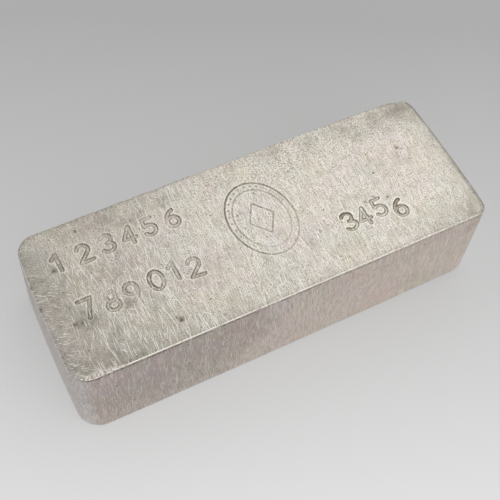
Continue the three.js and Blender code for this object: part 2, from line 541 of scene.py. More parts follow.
def tapered_box(low, high, top_half, spacing):
    """A box between two corners, cut into squares of about a spacing, then slimmed to the top."""
    bm = bmesh.new()
    bmesh.ops.create_cube(bm, size=1.0)
    bmesh.ops.scale(bm, vec=high - low, verts=bm.verts)
    bmesh.ops.translate(bm, vec=(high + low) / 2, verts=bm.verts)
    for axis in range(3):
        along = [e for e in bm.edges if abs(e.verts[0].co[axis] - e.verts[1].co[axis]) > spacing]
        cuts = round((high[axis] - low[axis]) / spacing) - 1
        bmesh.ops.subdivide_edges(bm, edges=along, cuts=cuts, use_grid_fill=True)
    for v in bm.verts:
        share = (v.co.z - low.z) / (high.z - low.z)
        half = high.xy.lerp(top_half, share)
        for axis in (0, 1):
            v.co[axis] *= half[axis] / high[axis]
        round_corner(v.co, half, CORNER_MM * MM)
    return bm


skin = tapered_box(CAD_LOW, CAD_HIGH, TOP_HALF, COARSE_MM * MM)
print("the sliced box has", len(skin.faces), "squares")

# %% [markdown]
# The squares are then halved where the shape needs it. For every square the script asks how fine
# it should be: about a tenth of a millimetre at a punched line or on the sharp front arris,
# coarser with distance from them, and coarsest on the underside.

# %% How fine each square should be
UNDERSIDE_MM, WALL_MM, TOP_MM = 1.6, 0.8, 0.7
MARK_MM, ARRIS_MM, FRONT_ARRIS_MM = 0.1, 0.24, 0.13
FACES_UP = 0.9
PIT_SHARE, PIT_REACH = 0.4, 1.5
BASE_BAND_MM = 2.0
GROWTH = 0.5
HEIGHT_MM = CAD_HIGH.z / MM


def inside_border(plan):
    """How far in mm each point lies inside the top's rounded outline, up to the corner radius."""
    past = abs(plan) - np.array(TOP_HALF) / MM + CORNER_MM
    return CORNER_MM - np.hypot(*np.clip(past, 0.0, None).T)


def wanted_sizes(middles, up):
    """The size in mm that each face should have, from its middle in mm and its upward share."""
    plan = middles[:, :2]
    inside = inside_border(plan)
    wanted = np.where(up > FACES_UP, TOP_MM, WALL_MM)
    wanted[(up < -FACES_UP) & (inside > BASE_BAND_MM)] = UNDERSIDE_MM
    below_top = HEIGHT_MM - middles[:, 2] - ARRIS_BAND_MM
    to_arris = np.clip(np.where(up > FACES_UP, abs(inside), below_top), 0.0, None)
    finest = np.where(middles[:, 1] < 0, FRONT_ARRIS_MM, ARRIS_MM)
    wanted = np.minimum(wanted, finest + GROWTH * to_arris)
    top = np.flatnonzero(up > FACES_UP)
    for m in MARKS:
        gap = distance_to(m, plan[top])[0] - m.half_width - GROOVE_WALL_MM
        wanted[top] = np.minimum(wanted[top], MARK_MM + GROWTH * np.clip(gap, 0.0, None))
    for *place, radius, _, _ in PITS:
        gap = np.linalg.norm(middles - place, axis=1) - PIT_REACH * radius
        wanted = np.minimum(wanted, PIT_SHARE * radius + GROWTH * np.clip(gap, 0.0, None))
    return wanted


print("the sharp front arris gets squares of", FRONT_ARRIS_MM, "mm")

# %% [markdown]
# A square that is much larger than wanted is cut into four. One pass halves the size, so four
# passes go from the coarse squares down to the finest.

# %% Refine the squares
TOO_LARGE = 1.45
PASSES = 4


def refine(bm):
    """Cuts each face that is too large into four."""
    bm.normal_update()
    faces = list(bm.faces)
    middles = np.array([f.calc_center_median() for f in faces]) / MM
    up = np.array([f.normal.z for f in faces])
    size = np.sqrt([f.calc_area() for f in faces]) / MM
    large = np.flatnonzero(size > TOO_LARGE * wanted_sizes(middles, up))
    edges = {e for i in large for e in faces[i].edges}
    bmesh.ops.subdivide_edges(bm, edges=list(edges), cuts=1, use_grid_fill=True)
    print(len(large), "squares cut")


for _ in range(PASSES):
    refine(skin)

# %% [markdown]
# Now the box is pulled onto the solid: every point goes to the nearest place on it. A little
# smoothing between the pulls evens the spacing round the corners and rolls over the facets, and
# without it a few squares would fold over each other at the arrises.

# %% Pull the box onto the solid
ALL_WAYS = {"use_axis_x": True, "use_axis_y": True, "use_axis_z": True}
SMOOTHINGS, SMOOTHING_SHARE = 2, 0.5


def pull_on(bm):
    """Moves every point to the nearest place on the solid."""
    for v in bm.verts:
        v.co = SOLID.find_nearest(v.co)[0]


pull_on(skin)
for _ in range(SMOOTHINGS):
    bmesh.ops.smooth_vert(skin, verts=skin.verts, factor=SMOOTHING_SHARE, **ALL_WAYS)
    pull_on(skin)
print("the skin has", len(skin.verts), "points, all on the solid")

# %% [markdown]
# Points that the pulling brought together are merged, slivers are removed, and the rest is cut
# into triangles that all face outward. A mesh that validate() leaves alone is sound.

# %% Close the skin
MERGE_MM = 0.005

bmesh.ops.remove_doubles(skin, verts=skin.verts, dist=MERGE_MM * MM)
bmesh.ops.dissolve_degenerate(skin, edges=skin.edges, dist=SAME_PLACE_MM * MM)
bmesh.ops.triangulate(skin, faces=skin.faces)
bmesh.ops.recalc_face_normals(skin, faces=skin.faces)
ingot_mesh = bpy.data.meshes.new("ingot_skin")
skin.to_mesh(ingot_mesh)
skin.free()
ingot_mesh.shade_smooth()
print("the skin has", len(ingot_mesh.polygons), "triangles")
print("it had to be mended" if ingot_mesh.validate() else "it is sound")

# %% [markdown]
# ## Working the metal
# The points and their outward directions become two arrays, and x, y and z are windows on the
# points that follow when they move. Each thing that happened to the bar adds its own small move
# outward, and the moves are only added up until all are known.

# %% Points and directions
count = len(ingot_mesh.vertices)
points = np.empty(count * 3)
ingot_mesh.vertices.foreach_get("co", points)
points = points.reshape(-1, 3) / MM
x, y, z = points.T
outward = np.array([n.vector for n in ingot_mesh.vertex_normals])
out_x, out_y, out_z = outward.T
upward = np.clip(out_z, 0.0, 1.0)
lift = np.zeros(count)
print(count, "points, of which", (out_z > FACES_UP).sum(), "face up")

# %% [markdown]
# Every region on the bar fades in and out along one of two curves: a soft step or a bell. Noise
# of a wanted length breaks up their borders, as chance did on the real one. One more function
# counts the points that lie well inside a region.

# %% Steps, bells and swells


def smooth_step(values, start, end):
    """0 before the start, 1 after the end, and an even curve between them."""
    share = np.clip((values - start) / (end - start), 0.0, 1.0)
    return share * share * (3.0 - 2.0 * share)


def bell(values, centre, width):
    """1 at the centre, falling off evenly to both sides."""
    return np.exp(-(((values - centre) / width) ** 2))


def swell(length, seed):
    """Smooth noise between about -1 and 1 at every point, with hills of a length in mm."""
    shift = Vector((seed, seed, seed))
    return np.array([noise.noise(Vector(p) / length + shift) for p in points])


def covered(share):
    """How many points have more than a half of it."""
    return (share > 0.5).sum()


print("a bell is", round(float(bell(1.0, 0.0, 1.0)), 2), "high one width from its middle")

# %% [markdown]
# A casting is never quite flat. Slow swells of a few hundredths of a millimetre bend the
# reflections on the top, and the walls, which froze against the mould, swell more. The underside
# stays flat, because the bar lies on it.

# %% Swells of the casting
SWELL_LENGTH_MM, RIPPLE_LENGTH_MM, FINE_LENGTH_MM = 14.0, 3.5, 0.5
SWELL_SEED, RIPPLE_SEED, FINE_SEED = 3.0, 11.0, 23.0
TOP_SWELL_MM, WALL_SWELL_MM = 0.03, 0.07
RIPPLE_SHARE = 0.35

height = TOP_SWELL_MM * upward + WALL_SWELL_MM * (1.0 - upward)
height[out_z < -FACES_UP] = 0.0
slow = swell(SWELL_LENGTH_MM, SWELL_SEED)
ripple = swell(RIPPLE_LENGTH_MM, RIPPLE_SEED)
fine = swell(FINE_LENGTH_MM, FINE_SEED)
lift += height * (slow + RIPPLE_SHARE * ripple)
print("the swells reach", round(abs(lift).max(), 3), "mm")

# %% [markdown]
# A punch pushes a flat-bottomed groove into the tin, and the metal that it moves stands up
# beside the line as a low rounded rim, painted paler as rubbed metal and a painted highlight.
# Where the bottom meets the walls the colour is darkened, partly dirt and partly painted shade,
# heavier on the shaded side, and a deep bottom looks dull because the abrasive never reached it.
# One function gives the depth of a mark at a place, as the punch leaned, and the next cell
# strikes.

# %% Depth under a leaning punch
SHALLOWEST, DEEPEST = 0.1, 2.0


def depth_under(m, places):
    """How deep in mm a mark goes at each place, deeper the way it leans."""
    reach = np.abs(m.ends - m.centre).max()
    return m.depth * np.clip(1.0 + (places - m.centre) @ m.lean / reach, SHALLOWEST, DEEPEST)


first = UPPER_ROW[0]
print("the first figure's middle is", depth_under(first, first.centre), "mm deep")

# %% [markdown]
# The grooves' edges are made a little uneven with the finest noise, because a worn punch never
# cuts a clean line.

# %% Strike the marks
RIM_PLACE_MM, RIM_WIDTH_MM, RIM_SHARE = 0.34, 0.18, 0.2
ROUGH_EDGE_MM = 0.06
DARK_LINE_PLACE_MM, DARK_LINE_WIDTH_MM, FULL_DEPTH_MM = 0.04, 0.13, 0.16
LIT_SIDE_DARK, SHADED_SIDE_DARK = 0.5, 1.0
DULL_DEPTH_MM = 0.34
RIM_WEAR_AND_HIGHLIGHT = 0.4
STRUCK_UP = 0.95

top = np.flatnonzero(upward > STRUCK_UP)
dirt_and_shade, sunk, proud = np.zeros(count), np.zeros(count), np.zeros(count)
for m in MARKS:
    gap, side = distance_to(m, points[top, :2])
    near = np.flatnonzero(np.isfinite(gap))
    gap, side, close = gap[near], side[near], top[near]
    gap += ROUGH_EDGE_MM * fine[close]
    deep = depth_under(m, points[close, :2])
    inside = 1.0 - smooth_step(gap, m.half_width, m.half_width + GROOVE_WALL_MM)
    rim = bell(gap, m.half_width + RIM_PLACE_MM, RIM_WIDTH_MM)
    lift[close] += deep * (RIM_SHARE * rim - inside)
    # The rubbed rim is painted paler: real wear and partly a painted highlight.
    proud[close] = np.maximum(proud[close], RIM_WEAR_AND_HIGHLIGHT * rim * deep / FULL_DEPTH_MM)
    # The dark line where the bottom meets the walls is partly dirt and partly painted shade,
    # darker on the shaded side.
    groove_dirt_and_shade = bell(gap, m.half_width + DARK_LINE_PLACE_MM, DARK_LINE_WIDTH_MM)
    groove_dirt_and_shade *= np.clip(deep / FULL_DEPTH_MM, 0.0, 1.0)
    groove_dirt_and_shade *= LIT_SIDE_DARK + (SHADED_SIDE_DARK - LIT_SIDE_DARK) * (1.0 + side) / 2.0
    dirt_and_shade[close] = np.maximum(dirt_and_shade[close], groove_dirt_and_shade)
    sunk[close] = np.maximum(sunk[close], inside * (deep / DULL_DEPTH_MM) ** 2)
print("the deepest stroke is", round(-lift.min(), 2), "mm")

# %% [markdown]
# A pit is pressed in as a soft bell, a little out of round, and dirt gathers at its bottom.

# %% Press the pits
PIT_RAGGED = 0.5
PIT_BELL, PIT_DIRT_BELL = 0.8, 0.9

for *place, radius, depth, grime_and_shade in PITS:
    gap = np.linalg.norm(points - place, axis=1) * (1.0 + PIT_RAGGED * fine) / radius
    lift -= depth * bell(gap, 0.0, PIT_BELL)
    dirt_and_shade = np.maximum(dirt_and_shade, grime_and_shade * bell(gap, 0.0, PIT_DIRT_BELL))
print("the deepest place is", round(-lift.min(), 2), "mm down")

# %% [markdown]
# The file and the hand left their traces on the edges. The front arris is sharp, rubbed bright
# on its crest, where a painted highlight is added, with a painted shadow line just under it, and
# the back arris is ragged where the metal met the cold rim of the mould. An arris is where a
# point near the top tilts halfway between up and sideways.

# %% Find the arrises
NEAR_TOP_MM, OFF_TOP_MM = 1.2, 1.6
ARRIS_TILT, ARRIS_SPREAD = 0.7, 0.25
BACK_BAND_MM = 1.3
FRONT_TILT, BACK_TILT, RIGHT_MM = (0.3, 0.6), (0.1, 0.5), (-10.0, 10.0)

top_gap = HEIGHT_MM - z
near_top = 1.0 - smooth_step(top_gap, NEAR_TOP_MM, OFF_TOP_MM)
arris = near_top * bell(out_z, ARRIS_TILT, ARRIS_SPREAD)
to_front = smooth_step(-out_y, *FRONT_TILT)
to_back = smooth_step(out_y, *BACK_TILT)
to_right = smooth_step(x, *RIGHT_MM)
back_edge = near_top * bell(y, TOP_HALF.y / MM, BACK_BAND_MM)
print(covered(arris), "points lie on an arris")

# %% [markdown]
# Two finer traces follow the arrises. A rough burr curls over the front left corner, widest at
# its middle. A painted shadow, a dark line just under the arris, runs along the whole front and
# along the front half of the left end.

# %% The burr and the painted shadow under the arris
BURR_WIDTH_MM, BURR_END_MM = 1.9, 0.4
BURR_ROUGH_MM, BURR_SOLID_SHARE = 0.3, 0.6
BURR_X_MM, BURR_Y_MM = (39.5, 50.0), (14.5, 17.0)
BURR_START, BURR_TILT, WALL_TILT = (0.0, 0.15), (0.3, 0.5), (0.6, 0.9)
UNDER_GAP_MM, UNDER_WIDTH_MM = 0.75, 0.38
LEFT_SHADOW_SHARE, LEFT_SHADOW_AT_MM, LEFT_SHADOW_MM = 0.8, -8.0, 8.0

along_burr = smooth_step(-x, *BURR_X_MM) * smooth_step(-y, *BURR_Y_MM)
burr_width = BURR_END_MM + (BURR_WIDTH_MM - BURR_END_MM) * along_burr
burr_gap = inside_border(points[:, :2]) + BURR_ROUGH_MM * fine
burr = 1.0 - smooth_step(burr_gap, BURR_SOLID_SHARE * burr_width, burr_width)
burr *= near_top * smooth_step(along_burr, *BURR_START) * smooth_step(out_z, *BURR_TILT)
# A painted shadow line under the front arris and the front half of the left one.
left_arris_shadow = smooth_step(-out_x, *WALL_TILT) * bell(y, LEFT_SHADOW_AT_MM, LEFT_SHADOW_MM)
under_arris_shadow = np.maximum(LEFT_SHADOW_SHARE * left_arris_shadow, smooth_step(-out_y, *WALL_TILT))
under_arris_shadow *= bell(top_gap, UNDER_GAP_MM, UNDER_WIDTH_MM)
print("the burr covers", covered(burr), "points")

# %% [markdown]
# The front arris and the right half of the back one stand up as a thin ridge, chips and lumps
# roughen the back, and the burr stands proud. The right end was worn down by years on a shelf,
# so everything there is lowered a little, more toward the top.

# %% Shape the arrises
RIDGE_MM, BURR_MM, CHIP_MM, LUMP_MM = 0.1, 0.12, 0.25, 0.15
MEAN_ROUGH, RIDGE_ROUGH = 0.4, 0.5
WEAR_MM, WEAR_FROM_MM, WEAR_TO_MM, WEAR_FOOT_MM = 0.5, 49.0, 53.5, 12.0

lift += RIDGE_MM * arris * np.maximum(to_front, to_back * to_right) * (1.0 + RIDGE_ROUGH * fine)
lift += BURR_MM * burr * (MEAN_ROUGH + fine)
lift -= CHIP_MM * near_top * to_back * np.clip(fine + ripple, 0.0, 1.0)
lift += LUMP_MM * back_edge * (MEAN_ROUGH + to_right) * fine
wear = WEAR_MM * smooth_step(x, WEAR_FROM_MM, WEAR_TO_MM)
wear *= smooth_step(z, WEAR_FOOT_MM, HEIGHT_MM)
points[:, 2] -= wear
print("the right end is", round(wear.max(), 2), "mm lower")

# %% [markdown]
# Now all moves are known, and every point goes outward by its sum. The moves are far smaller than
# the bar, so its size stays that of the solid.

# %% Move the points
points += outward * lift[:, None]
ingot_mesh.vertices.foreach_set("co", (points * MM).ravel())
ingot_mesh.update()
print("the lowest and highest moves are", lift.min().round(2), lift.max().round(2), "mm")

# %% [markdown]
# Some traces only change the colour or the direction of the scratches. They are kept as numbers
# from 0 to 1 on the points, for the material to read. Many of them fade in between two lines
# across the bar, so one table holds those lines. Where a border would look drawn, a noise makes
# it wander.

# %% Fades across the bar
FADES = {
    # name: which way it rises, noise, wander in mm, start and end in mm
    "past_filed": (x, ripple, 2.5, -52.0, -45.0),
    "left": (-x, slow, 0.0, -50.0, 50.0),
    "far_left": (-x, slow, 0.0, 10.0, 36.0),
    "left_back": (y, slow, 1.0, 8.0, 15.0),
    "sandy_back": (y, slow, 2.0, 5.0, 14.0),
    "sandy_right": (x, slow, 4.0, -22.0, 8.0),
    "left_corner": (-x, slow, 0.0, 46.0, 51.0),
    "band_back": (y, slow, 0.0, 9.0, 18.0),
    "back": (y, slow, 3.0, 13.0, 20.0),
    "right_end": (x, slow, 2.0, 44.0, 52.0),
    "front": (-y, slow, 1.5, 9.0, 18.5),
    "front_right": (x, slow, 0.0, 24.0, 42.0),
    "inner_front": (-y, slow, 0.0, 14.0, 17.0),
    "clean_back": (y, slow, 0.0, 13.0, 18.0),
    "clean_left": (-x, slow, 0.0, 41.0, 49.0),
    "grainy": (x, slow, 0.0, -28.0, 0.0),
    "roll": (x, ripple, 0.6, 51.3, 53.2),
    "calm_right": (x, slow, 0.0, 22.0, 42.0),
}
fade = {
    name: smooth_step(along + wander * by, start, end)
    for name, (along, by, wander, start, end) in FADES.items()
}
print(len(fade), "fades cross the bar")

# %% [markdown]
# The first traces say where a point lies: on the band that was filed or on the ends, where the
# scratches run the other way, on the corners and ends that hands touch, which the walls also
# use for painted light, and how far to the left, where the bar was handled least. Toward the
# back, most of all on the right half, the abrasive hardly reached, so the metal is still sandy.
# The long walls are painted paler toward the foot as painted light, with a dark patch on their
# left half.

# %% Regions of the bar
FILED_UP, END_TILT, ROUND_TILT = (0.5, 0.8), (0.6, 0.8), (0.02, 0.2)
END_SHARE = 0.65
SANDY_BACK, SANDY_BACK_LEFT, SANDY_ARRIS, SANDY_ARRIS_RIGHT = 0.7, 0.45, 0.3, 0.7
PATCH_HEIGHT_MM, PATCH_SPREAD_MM, PATCH_SLANT = 15.0, 14.0, 0.4
PATCH_EDGE_MM, PATCH_WANDER, PATCH_CORNER_PALE = (4.0, 14.0), 6.0, 0.6

filed = (1.0 - fade["past_filed"]) * smooth_step(upward, *FILED_UP)
ends = smooth_step(abs(out_x), *END_TILT)
to_left, far_left = fade["left"], fade["far_left"]
walled = 1.0 - upward
foot = 1.0 - z / HEIGHT_MM
rounded = smooth_step(1.0 - abs(outward[:, :2]).max(axis=1), *ROUND_TILT) * walled
handled_and_lit = np.maximum(rounded, END_SHARE * ends * walled)
back_left = far_left * fade["left_back"]
sandy = fade["sandy_back"] * fade["sandy_right"]
sandy = upward * np.maximum(SANDY_BACK * sandy, SANDY_BACK_LEFT * back_left)
sandy_arris = SANDY_ARRIS + SANDY_ARRIS_RIGHT * to_right
sandy = np.maximum(sandy, near_top * to_back * sandy_arris)
patch_gap = PATCH_SLANT * (z - PATCH_HEIGHT_MM) - x + PATCH_WANDER * ripple
patch = bell(z, PATCH_HEIGHT_MM, PATCH_SPREAD_MM) * smooth_step(patch_gap, *PATCH_EDGE_MM)
patch *= 1.0 - PATCH_CORNER_PALE * fade["left_corner"]
print("the dark patch covers", covered(patch * walled), "points")

# %% [markdown]
# Oxide stays where no hand rubs: along the filed left band, toward the back, behind both ends of
# the front arris and toward the right end. A thin dark line just inside the front arris is a
# painted shadow behind its ridge, and the rounded right arris is darkened with painted shade.
# The sandy metal, the grains on the back arris and the back left corner are cleaner.

# %% Where the oxide and the painted shade stay
LEFT_OXIDE, BACK_OXIDE, FAR_LEFT_OXIDE, RIGHT_OXIDE, ROLL_SHADE = 0.4, 0.37, 0.3, 0.25, 0.7
FRONT_LEFT_OXIDE, FRONT_RIGHT_OXIDE, INNER_SHADOW = 0.27, 0.35, 0.35
MOST_OXIDE, SANDY_CLEAN, EDGE_CLEAN, CORNER_CLEAN = 0.8, 0.12, 0.25, 0.3
STAIN_RAGGED = 0.4
LEFT_BAND_MM, LEFT_SPREAD_MM, LEFT_WANDER, BAND_BACK_CLEAN = -48.5, 3.8, 1.5, 0.6
INNER_PLACE_MM, INNER_WIDTH_MM, ROLL_END_TILT = 0.45, 0.35, (0.9, 0.99)

left_band = bell(x + LEFT_WANDER * ripple, LEFT_BAND_MM, LEFT_SPREAD_MM)
left_band *= 1.0 - BAND_BACK_CLEAN * fade["band_back"]
tarnish_and_shade = LEFT_OXIDE * left_band + BACK_OXIDE * fade["back"]
tarnish_and_shade += FAR_LEFT_OXIDE * far_left + RIGHT_OXIDE * fade["right_end"]
tarnish_and_shade -= SANDY_CLEAN * sandy + EDGE_CLEAN * back_edge * fade["grainy"]
tarnish_and_shade -= CORNER_CLEAN * fade["clean_back"] * fade["clean_left"]
tarnish_and_shade += FRONT_LEFT_OXIDE * fade["front"] * to_left
tarnish_and_shade += FRONT_RIGHT_OXIDE * fade["front"] * fade["front_right"]
for *spot, radius, strength in STAINS:
    gap = np.linalg.norm(points[:, :2] - spot, axis=1) * (1.0 + STAIN_RAGGED * ripple) / radius
    tarnish_and_shade += strength * bell(gap, 0.0, 1.0)
# A painted shadow: a thin dark line just inside the front arris, behind its ridge.
inner_line = bell(inside_border(points[:, :2]), INNER_PLACE_MM, INNER_WIDTH_MM)
inner_line *= fade["inner_front"]
tarnish_and_shade += INNER_SHADOW * inner_line * (1.0 - burr)
tarnish_and_shade = np.clip(tarnish_and_shade, 0.0, MOST_OXIDE) * upward
# Painted shade: the rounded right arris is darkened.
right_roll = near_top * fade["roll"]
tarnish_and_shade += ROLL_SHADE * right_roll * (1.0 - smooth_step(out_x, *ROLL_END_TILT))
print("oxide covers", round(100 * np.clip(tarnish_and_shade, 0, 1).mean()), "per cent")

# %% [markdown]
# The crests of the arrises and of the punched rims are rubbed bright, and so are the grains that
# stand out of the ragged back arris; that paler colour is partly real wear and partly a painted
# highlight. The corners of the marks hold dirt and painted shade, a broken painted shadow line
# runs under the front arris, and dirt sits as specks along the left part of the back one. The two
# quicker noises break up the crests of the arrises, the grains and the shadow line under the front
# one.

# %% Bright crests with painted highlights, dirt and painted shade
BURR_SHINE, BURR_DIRT, BACK_DIRT, BACK_SHINE = 0.85, 0.3, 0.6, 0.65
CREST_FROM, CREST_TO, NOT_RIGHT = (0.2, 0.4), (0.75, 0.9), (0.1, 0.4)
UNDER_SHADOW, UNDER_SHADOW_LEFT, SPECKS = 0.3, 0.5, (0.2, 0.45)
# mean, weight of the fine noise, weight of the ripple, least, most
CREST_BROKEN = (1.0, 1.2, 0.6, 0.2, 1.0)
CRUMBS_BROKEN = (0.0, 3.0, 1.0, 0.0, 1.0)
UNDER_BROKEN = (0.9, 2.5, 1.5, 0.1, 1.3)


def broken(mean, by_fine, by_ripple, least, most):
    """A share at every point that the two quicker noises raise and lower."""
    return np.clip(mean + by_fine * fine + by_ripple * ripple, least, most)


# Crests, burr and back grains are painted paler: real rubbing and partly a painted highlight.
worn_and_highlight = near_top * smooth_step(out_z, *CREST_FROM) * (1.0 - smooth_step(out_z, *CREST_TO))
worn_and_highlight *= broken(*CREST_BROKEN)
worn_and_highlight *= 1.0 - smooth_step(out_x, *NOT_RIGHT)
crumbs = back_edge * fade["grainy"] * broken(*CRUMBS_BROKEN)
worn_and_highlight = np.maximum(np.maximum(worn_and_highlight, BURR_SHINE * burr), np.maximum(proud, BACK_SHINE * crumbs))
# The painted shadow line under the arris is broken up and made stronger toward the left.
under_arris_shadow *= (UNDER_SHADOW + UNDER_SHADOW_LEFT * to_left) * broken(*UNDER_BROKEN)
back_dirt = BACK_DIRT * back_edge * smooth_step(fine, *SPECKS) * (1.0 - to_right)
dirt_and_shade = np.maximum(np.maximum(dirt_and_shade, under_arris_shadow), np.maximum(back_dirt, BURR_DIRT * burr))
print("dirt reaches", covered(dirt_and_shade), "points")

# %% [markdown]
# A point attribute carries each of these numbers with the mesh, so they stay in place in an
# export as well.

# %% Store the traces
PALEST, FOOT_PALE, LEFT_DARK, PATCH_DARK = 0.64, 0.35, 0.4, 0.44
TOP_SCORED, BACK_CALM, RIGHT_CALM, WALL_SCORED, ROUND_CALM = 0.8, 0.35, 0.3, 0.36, 0.22
HANDLED_GREY, CORNER_PAINTED_LIGHT = 0.6, 0.15
WALL_TINT, SANDY_CALM = 0.8, 0.6

on_top = TOP_SCORED - BACK_CALM * back_left - RIGHT_CALM * fade["calm_right"]
# Painted light on the walls: paler toward the foot and the corners, darker toward the left.
on_wall = PALEST + FOOT_PALE * foot + CORNER_PAINTED_LIGHT * handled_and_lit
scored = upward * on_top + walled * WALL_SCORED - ROUND_CALM * rounded
TRACES = {
    "dirt_and_shade": dirt_and_shade,
    "sunk": sunk,
    "worn_and_highlight": worn_and_highlight,
    "tarnish_and_shade": tarnish_and_shade,
    "wall": WALL_TINT * walled,
    "cross": np.maximum(filed, ends),
    "greyed": HANDLED_GREY * handled_and_lit,
    "sandy": sandy,
    "pale_and_lit": on_wall - LEFT_DARK * to_left - PATCH_DARK * patch,
    "scored": scored * (1.0 - SANDY_CALM * sandy),
}
for name, values in TRACES.items():
    layer = ingot_mesh.attributes.new(name, "FLOAT", "POINT")
    layer.data.foreach_set("value", np.clip(values, 0.0, 1.0).astype(np.float32))
    print(name, "averages", round(float(values.mean()), 2))

# %% [markdown]
# ## The finish
# Pewter is a warm grey. Freshly rubbed it is almost as pale as silver, and it dulls to a darker
# and slightly green oxide in hollows and on faces that nobody touches. This bar was rubbed
# mostly across, so its grain runs that way on the top and upright on the walls.
#
# Coordinates that are squeezed along one direction and drawn out along another turn any pattern
# into grain. A Mapping node set to Texture divides by its scale, so the scale is the grain's
# real size. The abrasive's grit is finer than a pixel, so it is drawn a few times coarser.

# %% Coordinates along the grain
MAPPING, NOISE, VORONOI = "ShaderNodeMapping", "ShaderNodeTexNoise", "ShaderNodeTexVoronoi"


def along_grain(place, fine_mm, long_mm, turn, lean, seed, across):
    """Mapping inputs that squeeze one axis, turn on the top and lean on the walls by degrees."""
    size = [long_mm * MM] * 3
    size[across] = fine_mm * MM
    tilt = [0.0, 0.0, math.radians(turn)]
    tilt[1 - across] = math.radians(lean)
    shift = mm(seed, seed, seed)
    return {"Vector": place, "Location": shift, "Rotation": Euler(tilt), "Scale": Vector(size)}


print("a grain setting holds", ", ".join(along_grain(UP, 0.2, 2.0, 0, 0, 0, 0)))

# %% [markdown]
# The rubbing shows as two things. The first is a dense dull hair, which is noise on those
# coordinates. Every noise averages a half.

# %% Hair
HAIR_WAYS = (
    # width mm (a real line is a few hundredths wide), length mm, turn, lean
    (0.17, 2.4, 7, 6),
    (0.18, 4.5, -9, -7),
)
SEED_STEP, HAIR_SEED = 30.0, 40.0
MEAN = 0.5


def hair(tree, place, across=0, askew=0.0, seed=HAIR_SEED):
    """Dense faint lines: the mean of two noises that cross at a slight angle."""
    sets = []
    for fine_mm, long_mm, turn, lean in HAIR_WAYS:
        seed += SEED_STEP
        way = along_grain(place, fine_mm, long_mm, turn + askew, lean, seed, across)
        way = node(tree, MAPPING, way, vector_type="TEXTURE")
        sets.append(node(tree, NOISE, {"Vector": way, "Scale": 1.0, "Detail": 2.0}))
    return node(tree, MIX, {0: MEAN, 2: sets[0], 3: sets[1]})


print("hair runs", len(HAIR_WAYS), "ways")

# %% [markdown]
# The second is separate bright scratches. A scratch is one point of a Voronoi pattern, seen so
# stretched that the round spot about it becomes a thin line with tapered ends.

# %% Scratches
SCRATCH_WAYS = (
    # spacing mm, length mm, half width as a share of the spacing, turn, lean
    (0.32, 4.0, 0.3, 4, 3),
    (0.42, 9.0, 0.25, -6, 5),
    (0.6, 26.0, 0.19, 10, 8),
    (0.5, 6.0, 0.2, -18, -12),
    (0.7, 7.0, 0.15, 50, 35),
)
SCRATCH_SEED, CREST_SHARE = 200.0, 0.5


def scratches(tree, place, across=0, askew=0.0, seed=SCRATCH_SEED, shorter=1.0):
    """Separate bright lines, one set for each way in which the abrasive was pushed."""
    lines = 0.0
    for spacing, length, share, turn, lean in SCRATCH_WAYS:
        seed += SEED_STEP
        way = along_grain(place, spacing, length * shorter, turn + askew, lean, seed, across)
        way = node(tree, MAPPING, way, vector_type="TEXTURE")
        spot = node(tree, VORONOI, {"Vector": way, "Scale": 1.0}, "Distance")
        line = node(tree, RANGE, {0: spot, 1: share, 2: CREST_SHARE * share})
        lines = node(tree, MATH, {0: line, 1: lines}, operation="MAXIMUM")
    return lines


print("scratches run", len(SCRATCH_WAYS), "ways")

# %% [markdown]
# Rubbed by hand, no line is quite straight. A slow noise bends the coordinates by a millimetre
# or two before any pattern reads them. The material also gets one node for each trace.

# %% Start the material
BEND = mm(2.0, 2.0, 2.0)
BEND_LENGTH_MM = 16.0

pewter = bpy.data.materials.new("cast_pewter_rubbed")
tree = empty_tree(pewter)
place = node(tree, "ShaderNodeTexCoord", output="Object")
slow_noise = {"Vector": place, "Scale": 1.0 / (BEND_LENGTH_MM * MM), "Detail": 1.0}
bend = node(tree, NOISE, slow_noise, "Color")
place = {0: bend, 1: BEND, 2: place}
place = node(tree, "ShaderNodeVectorMath", place, operation="MULTIPLY_ADD")
trace = {}
for name in TRACES:
    trace[name] = node(tree, "ShaderNodeAttribute", output="Fac", attribute_name=name)
print("the material reads", ", ".join(trace))

# %% [markdown]
# On the filed left band and on the ends the hand moved the other way and in shorter strokes, so a
# crossing set of hair and scratches takes over there. The hair fades out on the sandy metal.

# %% Grain along and across
ACROSS, CROSS_ASKEW, CROSS_SHORTER = 1, -20, 0.5
CROSS_HAIR_SEED, CROSS_SCRATCH_SEED = 500.0, 600.0

cross_hair = hair(tree, place, ACROSS, CROSS_ASKEW, CROSS_HAIR_SEED)
cross_scratches = scratches(
    tree, place, ACROSS, CROSS_ASKEW, CROSS_SCRATCH_SEED, CROSS_SHORTER
)
hairs = node(tree, MIX, {0: trace["cross"], 2: hair(tree, place), 3: cross_hair})
hairs = node(tree, MIX, {0: trace["sandy"], 2: hairs, 3: MEAN})
cuts = node(tree, MIX, {0: trace["cross"], 2: scratches(tree, place), 3: cross_scratches})
print("the grain takes", len(tree.nodes), "nodes")

# %% [markdown]
# Five more noises have no direction: the fine speckle of the rubbed surface, the coarser sand of
# the cast one, rare dark pores, a mottle of thin oxide, and clouds a centimetre wide. Speckle and
# sand are a few hundredths of a millimetre on real metal and are drawn coarser, so that they show.

# %% Speckle, sand, pores, mottle and clouds
GRAINS = {
    # size mm, detail
    "speckle": (0.2, 1.0),
    "sand": (0.32, 1.5),
    "pores": (0.5, 1.0),
    "mottle": (2.2, 4.0),
    "cloud": (9.0, 3.0),
}
for name, (size_mm, detail) in GRAINS.items():
    inputs = {"Vector": place, "Scale": 1.0 / (size_mm * MM), "Detail": detail}
    trace[name] = node(tree, NOISE, inputs)
    print(name, size_mm, "mm")

